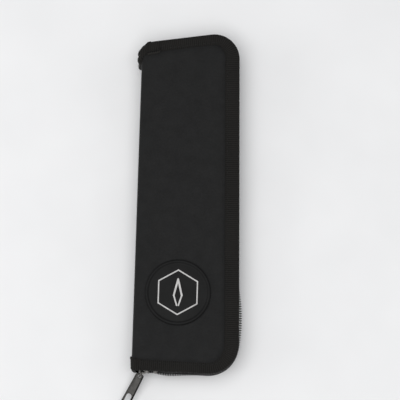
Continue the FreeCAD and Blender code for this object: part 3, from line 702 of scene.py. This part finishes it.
def spineRoute():
    # from over the cover, round the fold and down to the spine's middle: point and outward direction
    route = []
    for i in range(6):
        t = 1 - i / 6
        drop = spineEnds["overlapDrop"] * t * t * (3 - 2 * t)
        route.append((foldX + spineEnds["coverOverlap"] * t, case["thickness"] - drop, 0, 1))
    for i in range(9):
        a = math.radians(90 + 90 * i / 8)
        route.append((foldX + case["foldRadius"] * math.cos(a), foldZ + case["foldRadius"] * math.sin(a),
                      math.cos(a), math.sin(a)))
    for z in np.linspace(foldZ, midZ, 9)[1:]:
        dip = spineDip(z, spineEnds["spineDip"])
        route.append((spineX + dip, z, -1, 0))
    return route


def spineEndSection(sideways, proud, end):
    # (distance from the case's end, height over the cloth); the folded tape piles up on the spine
    reach = end["cover"] + (end["spine"] - end["cover"]) * sideways
    thick = spineEnds["thickness"] * 0.8
    shelf = [(a * mm, b * mm * sideways) for a, b in end["bulge"]]
    outer = []
    for i in range(25):
        a = reach * (1 - i / 24)
        height = thick + float(np.interp(a * end["spine"] / reach, *zip(*shelf)))
        if end["fold"] and abs(a - reach + end["fold"]) < spineEnds["creaseHalf"]:
            height -= spineEnds["creaseDepth"] * (1 - sideways)
        if i == 0:
            height -= spineEnds["edgeDrop"]
        outer.append((a, height))
    depth = spineEnds["wrapDepth"]
    wrap = [(-0.25 * mm * proud, 0.1 * mm), (-0.4 * mm * proud, -depth * 0.5), (-0.3 * mm * proud, -depth),
            (0.04 * mm, -depth)]
    return outer + wrap + [(0.06 * mm, 0.0), (reach * 0.5, 0.02 * mm), (reach, 0.02 * mm)]


def makeSpineEnds():
    ends = (("head", headSpine.y, -1), ("tail", tailSpine.y, 1))
    halves = (("front", np.array, foldZ, 1), ("back", flipped, case["foldRadius"], -1))
    for half, turn, axisZ, outward in halves:
        for end, endY, inwards in ends:
            rows = []
            for x, z, nx, nz in spineRoute():
                y = endY
                if x > foldX:   # over the cover the tape follows the slanted edge
                    line = coverLines(0)[0 if end == "head" else 2]
                    y = pointAtX(line, x).y
                sideways = max(0.0, -nx) ** 2
                proud = min(1, (foldX + spineEnds["coverOverlap"] - x) / spineEnds["coverOverlap"])
                section = spineEndSection(sideways, proud, spineEnds[end])
                rows.append([(x + nx * b, y + inwards * a, z + nz * b) for a, b in section])
            name = half + "SpineBinding" + end.capitalize()
            tape = tubeFromRows(name, turn(roundedGrid(rows)), materials["grosgrain"], 1.3)
            if half == "front":
                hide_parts("spine_binding_" + end)
            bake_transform(tape)
    print("spine end bindings made")


lap = sized(endX=-21.5, inner=8.5, skew=0.5, outer=0.45, hem=2.2, top=22.15, under=21.58)


# painted light and shade across the lap's section, in mm round it from the roll's lower edge: painted shade
# there, a painted highlight over the roll, painted shade in the crease behind it, then the plain tape; light
# and dark are factors on the base colour
hemLightAndShade = {**sized(rise=0.5, crest=1.8, crease=2.6, flat=3.5), "light": 1.5, "dark": 0.15}


def foldedMaterial():
    # grosgrain with a painted highlight along its rolled hem, painted shade under the roll's lower edge and
    # painted shade in the crease behind the roll
    material, tree, bsdf, coords, base = builtOn("grosgrain", "foldedGrosgrainPaintedShading")
    across = addNode(tree, "ShaderNodeSeparateXYZ", {0: coords.outputs["UV"]}).outputs["Y"]
    span = 2 * hemLightAndShade["flat"]
    ramp = addNode(tree, "ShaderNodeValToRGB", {"Fac": mathNode(tree, "DIVIDE", across, span)})
    # painted shade, painted highlight, painted shade in the crease, then the tape's own colour
    stops = [(0, hemLightAndShade["dark"]), (hemLightAndShade["rise"], hemLightAndShade["light"]),
             (hemLightAndShade["crest"], hemLightAndShade["light"]), (hemLightAndShade["crease"], hemLightAndShade["dark"]),
             (hemLightAndShade["flat"], 1.0)]
    while len(ramp.color_ramp.elements) < len(stops):
        ramp.color_ramp.elements.new(0.5)
    for element, (place, tone) in zip(ramp.color_ramp.elements, stops):
        element.position, element.color = place / span, (tone, tone, tone, 1)
    litAndShaded = addNode(tree, "ShaderNodeVectorMath", {0: base, 1: ramp.outputs["Color"]}, operation="MULTIPLY")
    tree.links.new(litAndShaded.outputs[0], bsdf.inputs["Base Color"])
    return material


def makeLap():
    # the tape's other end, folded over and sewn down on the front face at the head
    line = coverLines(0)[0]
    startX = foldX + 0.2 * mm
    rows = []
    for i in range(25):
        t = i / 24
        x = startX + (lap["endX"] - startX) * t
        p, n = pointAtX(line, x), Vector((-line[1].y, line[1].x))
        tip = max(0.0, (t - 0.86) / 0.14)
        inner = lap["inner"] + (1 - t) * lap["skew"] - 1.3 * mm * (1 - math.sqrt(1 - tip * tip))
        inner += noise.noise(Vector((i * 0.2, 0, 3))) * 0.2 * mm
        top = lap["top"] + 0.1 * mm * math.sin(t * 9) - 0.35 * mm * tip * tip
        under, hem = lap["under"], inner - lap["hem"]
        section = [   # inset from the cover's edge and height: the rolled hem, the flat tape, its under side
            (inner - 0.4 * mm, under + 0.5 * mm), (inner + 0.1 * mm, top + 0.1 * mm),
            (inner - 0.2 * mm, top + 0.5 * mm), (inner - 1.0 * mm, top + 0.8 * mm),
            (hem + 0.4 * mm, top + 0.4 * mm), (hem, top - 0.48 * mm), (hem - 0.4 * mm, top - 0.02 * mm),
            (hem * 0.6, top + 0.02 * mm), (hem * 0.3, top - 0.02 * mm), (1.3 * mm, top - 0.15 * mm),
            (lap["outer"], top - 0.7 * mm),
            (lap["outer"] + 0.4 * mm, under - 0.3 * mm), (1.8 * mm, under), (hem, under)]
        rows.append([(*(p - n * inset), z) for inset, z in section])
    tape = tubeFromRows("bindingLap", roundedGrid(rows), foldedMaterial(), 1.3)
    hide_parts("front_binding_lap")
    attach(tape, "front_half")
    print("binding lap made")


zipWall = {
    **sized(inset=1.6, tape=0.4, bowRadius=35, bowFromSpine=24.25, bowInset=-0.2, cornerRadius=17, edgeZ=11.75,
            headStartX=-29.1, headCoilX=-17.0, sliderFromSpine=8.15, tapePastSlider=6.2, coilPastTape=2.9,
            coilPastSlider=1.0, topZ=18.06, hemReach=2.0),
    "bowEndDeg": -3.5, "bowStartDeg": 36.5,
}
bowX = spineX + zipWall["bowFromSpine"]
bowCentre = Vector((bowX, pointAtX(coverLines(0)[2], bowX).y + zipWall["bowInset"] + zipWall["bowRadius"]))
sliderReach = zipWall["bowFromSpine"] - zipWall["sliderFromSpine"]
sliderDeg = math.degrees(math.asin(sliderReach / zipWall["bowRadius"]))


def onBow(deg, inset=0.0):
    a = math.radians(deg)
    return bowCentre + Vector((-math.sin(a), -math.cos(a))) * (zipWall["bowRadius"] - inset)


def bowDegrees(distance):
    return math.degrees(distance / zipWall["bowRadius"])


frontWallDeg = sliderDeg - bowDegrees(zipWall["tapePastSlider"])
coilEnds = {"front": frontWallDeg - bowDegrees(zipWall["coilPastTape"]),
            "back": sliderDeg + bowDegrees(zipWall["coilPastSlider"])}
bulge = {**sized(centre=-74, spread=15, height=1.7), "shares": {"front": 1.0, "back": 0.1}}


def bulged(points, share):
    # the chain and the tape's edge stand a little proud where the side turns to the tail
    out = []
    for p, n in withNormals(points):
        push = bulge["height"] * math.exp(-abs((p.y - bulge["centre"]) / bulge["spread"]) ** 3)
        out.append(p + n * (push if n.x > 0.7 else 0.0) * share)   # on the zip side only
    return out


def zipLine(inset, startX, endDeg):
    depth = zipWall["inset"] + inset
    head, side, _ = coverLines(depth)
    a = math.radians(zipWall["bowEndDeg"])
    bowEnd = onBow(zipWall["bowEndDeg"], inset)
    runOut = (bowEnd, Vector((math.cos(a), -math.sin(a))))
    points = [pointAtX(head, startX), meetPoint(head, side), meetPoint(side, runOut), bowEnd]
    path = roundedPath(points, [case["headRadius"] - depth, zipWall["cornerRadius"] - inset], 2 * mm, 12)
    steps = 24
    degs = [zipWall["bowEndDeg"] + (endDeg - zipWall["bowEndDeg"]) * (i + 1) / steps for i in range(steps)]
    return path + [onBow(d, inset) for d in degs]


def makeZipTapes():
    top, hemReach = zipWall["topZ"], zipWall["hemReach"]
    for name, turn, endDeg in (("front", np.array, frontWallDeg), ("back", flipped, zipWall["bowStartDeg"])):
        rows = []
        line = zipLine(0, zipWall["headStartX"], endDeg)
        share = bulge["shares"][name]
        for i, ((p, n), edge) in enumerate(zip(withNormals(line), bulged(line, share))):
            push = (edge - p).length
            bow = noise.noise(Vector((i * 0.12, 2, 0))) * 0.12 * mm - push * 0.35
            pull = -push
            wall = [(pull, zipWall["edgeZ"]), (pull * 0.9, 13 * mm), (bow * 1.2, 15 * mm),
                    (bow * 0.6, 16.6 * mm)]
            inside = [(zipWall["tape"] + a, z) for a, z in reversed(wall)]
            hem = [(0, top), (hemReach, top), (hemReach, top - 0.3 * mm), (0.45 * mm, top - 0.35 * mm)]
            section = wall + hem + inside
            rows.append([(*(p - n * inset), z) for inset, z in section])
        tape = tubeFromRows(name + "ZipTape", turn(rows), materials["zipTapeWeave"], 0.9)
        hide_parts(name + "_zip_tape")
        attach(tape, name + "_half")
    print("zip tapes made")


def newTree(name, sockets):
    tree = bpy.data.node_groups.new(name, "GeometryNodeTree")
    face = tree.interface
    face.new_socket("Geometry", in_out="INPUT", socket_type="NodeSocketGeometry")
    for label, kind, value in sockets:
        socket = face.new_socket(label, in_out="INPUT", socket_type=kind)
        if value is not None:
            socket.default_value = value
    face.new_socket("Geometry", in_out="OUTPUT", socket_type="NodeSocketGeometry")
    return tree, tree.nodes.new("NodeGroupInput"), tree.nodes.new("NodeGroupOutput")


def bakedRow(name, tree, lines, values):
    # runs a tree on polylines and keeps the result as a plain mesh
    mesh = bpy.data.meshes.new(name + "Line")
    verts, edges = [], []
    for line in lines:
        start = len(verts)
        verts += [tuple(p) for p in line]
        edges += [(start + i, start + i + 1) for i in range(len(line) - 1)]
    mesh.from_pydata(verts, edges, [])
    guide = bpy.data.objects.new(name + "Line", mesh)
    scene.collection.objects.link(guide)
    modifier = guide.modifiers.new("rows", "NODES")
    modifier.node_group = tree
    for item in tree.interface.items_tree:
        if item.item_type == "SOCKET" and item.in_out == "INPUT" and item.name in values:
            modifier[item.identifier] = values[item.name]
    evaluated = guide.evaluated_get(bpy.context.evaluated_depsgraph_get())
    plain = bpy.data.meshes.new_from_object(evaluated)
    bm = bmesh.new()
    bm.from_mesh(plain)
    bmesh.ops.recalc_face_normals(bm, faces=bm.faces)
    for face in bm.faces:
        face.smooth = True
    bm.to_mesh(plain)
    bm.free()
    guide.modifiers.remove(modifier)
    bpy.data.objects.remove(guide)
    plain.name = name
    obj = bpy.data.objects.new(name, plain)
    scene.collection.objects.link(obj)
    return obj


def alongLine(tree, entry, spacing):
    # evenly spaced points on the guide, and a rotation with X along it
    curve = addNode(tree, "GeometryNodeMeshToCurve", {"Mesh": entry.outputs["Geometry"]})
    even = addNode(tree, "GeometryNodeResampleCurve", mode="LENGTH")
    tree.links.new(curve.outputs["Curve"], even.inputs["Curve"])
    tree.links.new(spacing, even.inputs["Length"])
    tangent = addNode(tree, "GeometryNodeInputTangent")
    turn = addNode(tree, "FunctionNodeAlignRotationToVector", {"Vector": tangent.outputs[0]}, axis="X",
                   pivot_axis="Z")
    return even.outputs["Curve"], turn.outputs["Rotation"]


def copiesAt(tree, points, rotation, instance):
    values = {"Points": points, "Instance": instance, "Rotation": rotation}
    return addNode(tree, "GeometryNodeInstanceOnPoints", values).outputs["Instances"]


def finishTree(tree, entry, exitNode, geometry):
    real = addNode(tree, "GeometryNodeRealizeInstances", {"Geometry": geometry})
    values = {"Geometry": real.outputs["Geometry"], "Material": entry.outputs["Finish"]}
    painted = addNode(tree, "GeometryNodeSetMaterial", values)
    tree.links.new(painted.outputs["Geometry"], exitNode.inputs["Geometry"])


def tubeAlong(tree, curve, sides, radius):
    ring = addNode(tree, "GeometryNodeCurvePrimitiveCircle", {"Resolution": sides, "Radius": radius})
    values = {"Curve": curve, "Profile Curve": ring.outputs["Curve"], "Fill Caps": True}
    return addNode(tree, "GeometryNodeCurveToMesh", values).outputs["Mesh"]


def toothTree():
    tree, entry, exitNode = newTree("coilTeeth", [
        ("Pitch", "NodeSocketFloat", 1.5 * mm), ("Wire Radius", "NodeSocketFloat", 0.36 * mm),
        ("Root", "NodeSocketVector", None), ("Crest", "NodeSocketVector", None),
        ("Head", "NodeSocketVector", None), ("Finish", "NodeSocketMaterial", None)])
    points, rotation = alongLine(tree, entry, entry.outputs["Pitch"])
    loop = addNode(tree, "GeometryNodeCurveQuadraticBezier", {
        "Resolution": 7, "Start": entry.outputs["Root"], "Middle": entry.outputs["Crest"],
        "End": entry.outputs["Head"]})
    tooth = tubeAlong(tree, loop.outputs["Curve"], 7, entry.outputs["Wire Radius"])
    finishTree(tree, entry, exitNode, copiesAt(tree, points, rotation, tooth))
    return tree


def stitchTree():
    tree, entry, exitNode = newTree("stitches", [
        ("Pitch", "NodeSocketFloat", 2.6 * mm), ("Length", "NodeSocketFloat", 1.0 * mm),
        ("Thickness", "NodeSocketFloat", 0.22 * mm), ("Unevenness", "NodeSocketFloat", 0.08),
        ("Seed", "NodeSocketInt", 3), ("Finish", "NodeSocketMaterial", None)])
    points, rotation = alongLine(tree, entry, entry.outputs["Pitch"])
    ball = addNode(tree, "GeometryNodeMeshIcoSphere", {"Radius": 1.0, "Subdivisions": 2})
    size = addNode(tree, "ShaderNodeCombineXYZ", {
        "X": entry.outputs["Length"], "Y": entry.outputs["Thickness"], "Z": entry.outputs["Thickness"]})
    values = {"Geometry": ball.outputs["Mesh"], "Scale": size.outputs[0]}
    stitch = addNode(tree, "GeometryNodeTransform", values)
    low = addNode(tree, "ShaderNodeMath", {0: entry.outputs["Unevenness"], 1: -1.0}, operation="MULTIPLY")
    sway = addNode(tree, "FunctionNodeRandomValue", data_type="FLOAT")
    swaySockets = [s for s in sway.inputs if s.enabled and s.type == "VALUE"]
    tree.links.new(low.outputs[0], swaySockets[0])
    tree.links.new(entry.outputs["Unevenness"], swaySockets[1])
    tree.links.new(entry.outputs["Seed"], sway.inputs["Seed"])
    swayOut = [s for s in sway.outputs if s.enabled][0]
    around = addNode(tree, "ShaderNodeCombineXYZ", {"Z": swayOut})
    turned = addNode(tree, "FunctionNodeRotateRotation", {"Rotation": rotation}, rotation_space="LOCAL")
    tree.links.new(around.outputs[0], turned.inputs["Rotate By"])
    placed = copiesAt(tree, points, turned.outputs["Rotation"], stitch.outputs["Geometry"])
    finishTree(tree, entry, exitNode, placed)
    return tree


teeth = sized(pitch=1.5, wire=0.34, root=(0.25, 2.85), crest=(2.6, 1.6), head=(0.5, 0.05))


def makeTeeth():
    tree = toothTree()
    for name, side, shift in (("front", 1, 0.0), ("back", -1, 0.5)):
        startX = zipWall["headCoilX"] + shift * teeth["pitch"]
        line = bulged(zipLine(0, startX, coilEnds[name]), bulge["shares"][name])
        row = bakedRow(name + "ZipTeeth", tree, [[(p.x, p.y, midZ) for p in line]], {
            "Pitch": teeth["pitch"], "Wire Radius": teeth["wire"], "Finish": materials["blackNylon"],
            "Root": (0, teeth["root"][0], side * teeth["root"][1]),
            "Crest": (0, teeth["crest"][0], side * teeth["crest"][1]),
            "Head": (0, teeth["head"][0], side * teeth["head"][1])})
        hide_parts(name + "_zip_coil")
        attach(row, name + "_half")
    print("zip teeth made")


seams = sized(inset=1.3, z=21.58, pitch=2.7, length=0.95, thickness=0.2, lapDrop=0.25, start=2, lowDrop=0.04,
              lapEnds=(0.6, 1.2))


def makeSeams():
    tree = stitchTree()
    values = {"Pitch": seams["pitch"], "Length": seams["length"], "Thickness": seams["thickness"],
              "Unevenness": 0.1, "Seed": 11, "Finish": materials["blackThread"]}
    for name, side in (("front", 1), ("back", -1)):
        lines = []
        for level in (seams["z"], binding["low"] - seams["lowDrop"]):
            z = level if side > 0 else case["thickness"] - level
            path = withNormals(coverEdge(0, binding["startX"] + seams["start"]))
            inset = [tapeWidth(p) - seams["inset"] for p, n in path]
            lines.append([(*(p - n * d), z) for (p, n), d in zip(path, inset)])
        if side > 0:   # and the row that holds the binding lap's hem
            head = coverLines(0)[0]
            n, z = Vector((-head[1].y, head[1].x)), lap["top"] - seams["lapDrop"]
            ends = [(foldX + seams["lapEnds"][0], lap["inner"] + lap["skew"]),
                    (lap["endX"] - seams["lapEnds"][1], lap["inner"])]
            lines.append([(*(pointAtX(head, x) - n * (depth - lap["hem"])), z) for x, depth in ends])
        row = bakedRow(name + "BindingStitches", tree, lines, values)
        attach(row, name + "_half")
    print("binding stitches made")


badge = {**sized(radius=20.65, rim=2.1, faceZ=22.9, rimZ=23.42, footZ=21.6, ringGroove=0.12, poleGap=0.02),
         "segments": 128}


def makeBadge():
    low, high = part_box("badge_base")
    centre = (low + high) / 2
    r, face, top = badge["radius"], badge["faceZ"], badge["rimZ"]
    inner = r - badge["rim"]
    section = [
        (badge["poleGap"], face), (inner - 1.2 * mm, face), (inner - 0.5 * mm, face - badge["ringGroove"]),
        (inner - 0.1 * mm, face - 0.02 * mm), (inner + 0.35 * mm, top - 0.12 * mm), (inner + 0.8 * mm, top),
        (r - 1.0 * mm, top), (r - 0.4 * mm, top - 0.18 * mm), (r - 0.05 * mm, top - 0.6 * mm),
        (r, face - 0.5 * mm), (r - 0.05 * mm, badge["footZ"]), (badge["poleGap"], badge["footZ"])]
    rows = []
    for i in range(badge["segments"]):
        a = 2 * math.pi * i / badge["segments"]
        rows.append([(centre.x + rr * math.cos(a), centre.y + rr * math.sin(a), z) for rr, z in section])
    disc = tubeFromRows("badgePatch", rows, materials["badgePlastic"], 1.0, wrapRows=True)
    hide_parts("badge_base")
    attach(disc, "front_half")
    print("badge made")


strap = sized(width=18, thickness=0.9, foot=2.5, crown=1.6, flat=8, endFromSide=10.75, loopHalf=6.5, baseZ=3.34,
              loopTop=13.55, toolFromSpine=22.25, loopNarrowing=0.35, edgeWobble=0.25, edgeRound=0.15)
toolX = spineX + strap["toolFromSpine"]
loopLeft, loopRight = toolX - strap["loopHalf"], toolX + strap["loopHalf"]
strapEndX = case["width"] / 2 - strap["endFromSide"]


def strapRoute():
    base, top = strap["baseZ"], strap["loopTop"]
    points = [(loopLeft - strap["flat"], base), (loopLeft, base), (loopLeft, top), (loopRight, top),
              (loopRight, base), (strapEndX, base)]
    radii = [strap["foot"], strap["crown"], strap["crown"], strap["foot"]]
    return roundedPath([Vector(p) for p in points], radii, 1.2 * mm, 7)


def makeStraps():
    for name in ("upper", "lower"):
        low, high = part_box(name + "_elastic_strap")
        centreY, half = (low.y + high.y) / 2, strap["width"] / 2
        rows = []
        for i, (p, n) in enumerate(withNormals(strapRoute())):
            narrow = half - strap["loopNarrowing"] * (1 if p.y > strap["baseZ"] + 1 * mm else 0)
            narrow += noise.noise(Vector((i * 0.2, centreY * 50, 1))) * strap["edgeWobble"]
            edge = narrow + strap["edgeRound"]
            t = strap["thickness"]
            section = [(-narrow, 0.1 * t), (-edge, 0.5 * t), (-narrow, 0.9 * t)]
            section += [(narrow * k / 4, t * (0.94 if k % 2 else 1.0)) for k in range(-3, 4)]
            section += [(narrow, 0.9 * t), (edge, 0.5 * t), (narrow, 0.1 * t), (0, 0.02 * t)]
            rows.append([(p.x + n.x * b, centreY + a, p.y + n.y * b) for a, b in section])
        band = tubeFromRows(name + "ElasticStrap", rows, materials["elasticWeave"], 1.2)
        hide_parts(name + "_elastic_strap")
        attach(band, "back_half")
    print("elastic straps made")


def threadTree():
    tree, entry, exitNode = newTree("threadTube", [
        ("Radius", "NodeSocketFloat", 0.2 * mm), ("Finish", "NodeSocketMaterial", None)])
    curve = addNode(tree, "GeometryNodeMeshToCurve", {"Mesh": entry.outputs["Geometry"]})
    finishTree(tree, entry, exitNode, tubeAlong(tree, curve.outputs["Curve"], 6, entry.outputs["Radius"]))
    return tree


bartack = {**sized(length=14, width=1.4, pitch=0.55, radius=0.2), "raise": 0.12 * mm}


def makeBartacks():
    inset = bartack["width"]
    places = [loopLeft - strap["flat"] + inset, loopLeft - strap["foot"] - inset,
              loopRight + strap["foot"] + inset, loopRight + (strapEndX - loopRight) * 0.55, strapEndX - inset]
    z = strap["baseZ"] + strap["thickness"] + bartack["raise"]
    count = round(bartack["length"] / bartack["pitch"])
    lines = []
    for name in ("upper", "lower"):
        low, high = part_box(name + "_elastic_strap")
        y0 = (low.y + high.y) / 2 - bartack["length"] / 2
        for x in places:
            lines.append([(x + bartack["width"] * (0.5 if i % 2 else -0.5), y0 + i * bartack["pitch"], z)
                          for i in range(count + 1)])
    values = {"Radius": bartack["radius"], "Finish": materials["blackThread"]}
    row = bakedRow("strapBartacks", threadTree(), lines, values)
    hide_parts("strap_bartacks")
    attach(row, "back_half")
    print("bartacks made")


makeCovers()
makeBindings()
makeSpineEnds()
makeLap()
makeZipTapes()
makeTeeth()
makeSeams()
makeBadge()
makeStraps()
makeBartacks()
